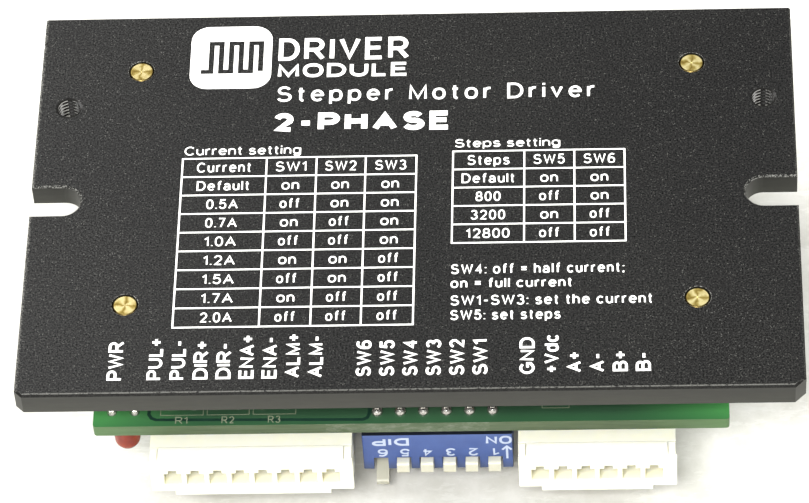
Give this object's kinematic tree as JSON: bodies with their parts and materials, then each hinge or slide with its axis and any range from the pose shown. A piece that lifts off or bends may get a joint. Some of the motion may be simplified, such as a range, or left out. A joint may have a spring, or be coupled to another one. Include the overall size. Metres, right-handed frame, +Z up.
{
  "type": "stepper driver module",
  "caption": "Open-frame motor driver board under a flat black heat-sink plate, with side-entry connectors, piano DIP switch and status LED on its front edge.",
  "frame": {"origin": "centre of the bounding box's footprint, on the surface the module stands on", "axes": "+Z up out of the heat-sink plate's outer face, -Y out of the connectors and switch keys, +X to the right seen from the connectors"},
  "size_m": [0.086, 0.0572, 0.02],
  "materials": {
    "black_anodised_aluminium": "blasted black anodised",
    "turned_brass": "turned",
    "zinc_steel": "zinc plated",
    "green_board": "green solder mask on glass-epoxy board, satin",
    "solder": "solder, soft bright",
    "cream_nylon": "natural nylon, satin",
    "tinned_pin": "tin plated",
    "blue_plastic": "moulded blue, satin",
    "black_plastic": "moulded black",
    "white_key_plastic": "moulded off-white, satin",
    "gold_contact": "gold plated",
    "red_epoxy": "tinted epoxy",
    "thermal_pad_silicone": "soft silicone pad",
    "chip_epoxy": "moulding compound",
    "optocoupler_white": "moulded white",
    "ferrite": "grey-black ferrite",
    "capacitor_aluminium": "drawn can",
    "tan_ceramic": "sintered tan",
    "crystal_steel": "nickel plated can"
  },
  "bodies": {
    "driver_frame": {"board_screws": "zinc_steel", "brass_standoffs": "turned_brass", "capacitor_bases": "black_plastic", "capacitor_cans": "capacitor_aluminium", "capacitor_terminals": "tinned_pin", "chip_capacitor_ends": "solder", "chip_capacitors": "tan_ceramic", "chip_resistor_ends": "solder", "chip_resistors": "chip_epoxy", "circuit_board": "green_board", "controller_chip": "chip_epoxy", "controller_leads": "tinned_pin", "crystal_base": "black_plastic", "crystal_can": "crystal_steel", "diode_leads": "tinned_pin", "diodes": "chip_epoxy", "dip_base": "black_plastic", "dip_contacts": "gold_contact", "dip_housing": "blue_plastic", "dip_pins": "tinned_pin", "driver_chip_leads": "tinned_pin", "driver_chips": "chip_epoxy", "heatsink_plate": "black_anodised_aluminium", "inductor_core": "ferrite", "inductor_terminals": "tinned_pin", "led_leads": "tinned_pin", "led_lens": "red_epoxy", "optocoupler_leads": "tinned_pin", "optocouplers": "optocoupler_white", "power_header": "cream_nylon", "power_header_pins": "tinned_pin", "regulator_chip": "chip_epoxy", "regulator_leads": "tinned_pin", "sense_resistor_ends": "solder", "sense_resistors": "chip_epoxy", "signal_header": "cream_nylon", "signal_header_pins": "tinned_pin", "solder_joints": "solder", "thermal_pads": "thermal_pad_silicone"},
    "signal_plug": {"signal_plug": "cream_nylon"},
    "power_plug": {"power_plug": "cream_nylon"},
    "dip_key_1": {"dip_key_1": "white_key_plastic"},
    "dip_key_2": {"dip_key_2": "white_key_plastic"},
    "dip_key_3": {"dip_key_3": "white_key_plastic"},
    "dip_key_4": {"dip_key_4": "white_key_plastic"},
    "dip_key_5": {"dip_key_5": "white_key_plastic"},
    "dip_key_6": {"dip_key_6": "white_key_plastic"}
  },
  "joints": [
    {"name": "signal_plug_slide", "type": "slide", "parent": "driver_frame", "child": "signal_plug", "axis": [0, -1, 0], "range_m": [0, 0.012]},
    {"name": "power_plug_slide", "type": "slide", "parent": "driver_frame", "child": "power_plug", "axis": [0, -1, 0], "range_m": [0, 0.012]},
    {"name": "dip_key_1_hinge", "type": "hinge", "parent": "driver_frame", "child": "dip_key_1", "pos_m": [0.00897, -0.02135, 0.00413], "axis": [1, 0, 0], "range_deg": [0, 39]},
    {"name": "dip_key_2_hinge", "type": "hinge", "parent": "driver_frame", "child": "dip_key_2", "pos_m": [0.00643, -0.02135, 0.00413], "axis": [1, 0, 0], "range_deg": [0, 39]},
    {"name": "dip_key_3_hinge", "type": "hinge", "parent": "driver_frame", "child": "dip_key_3", "pos_m": [0.00389, -0.02135, 0.00413], "axis": [1, 0, 0], "range_deg": [0, 39]},
    {"name": "dip_key_4_hinge", "type": "hinge", "parent": "driver_frame", "child": "dip_key_4", "pos_m": [0.00135, -0.02135, 0.00413], "axis": [1, 0, 0], "range_deg": [0, 39]},
    {"name": "dip_key_5_hinge", "type": "hinge", "parent": "driver_frame", "child": "dip_key_5", "pos_m": [-0.00119, -0.02135, 0.00413], "axis": [1, 0, 0], "range_deg": [0, 39]},
    {"name": "dip_key_6_hinge", "type": "hinge", "parent": "driver_frame", "child": "dip_key_6", "pos_m": [-0.00373, -0.02135, 0.00413], "axis": [1, 0, 0], "range_deg": [-39, 0]}
  ]
}
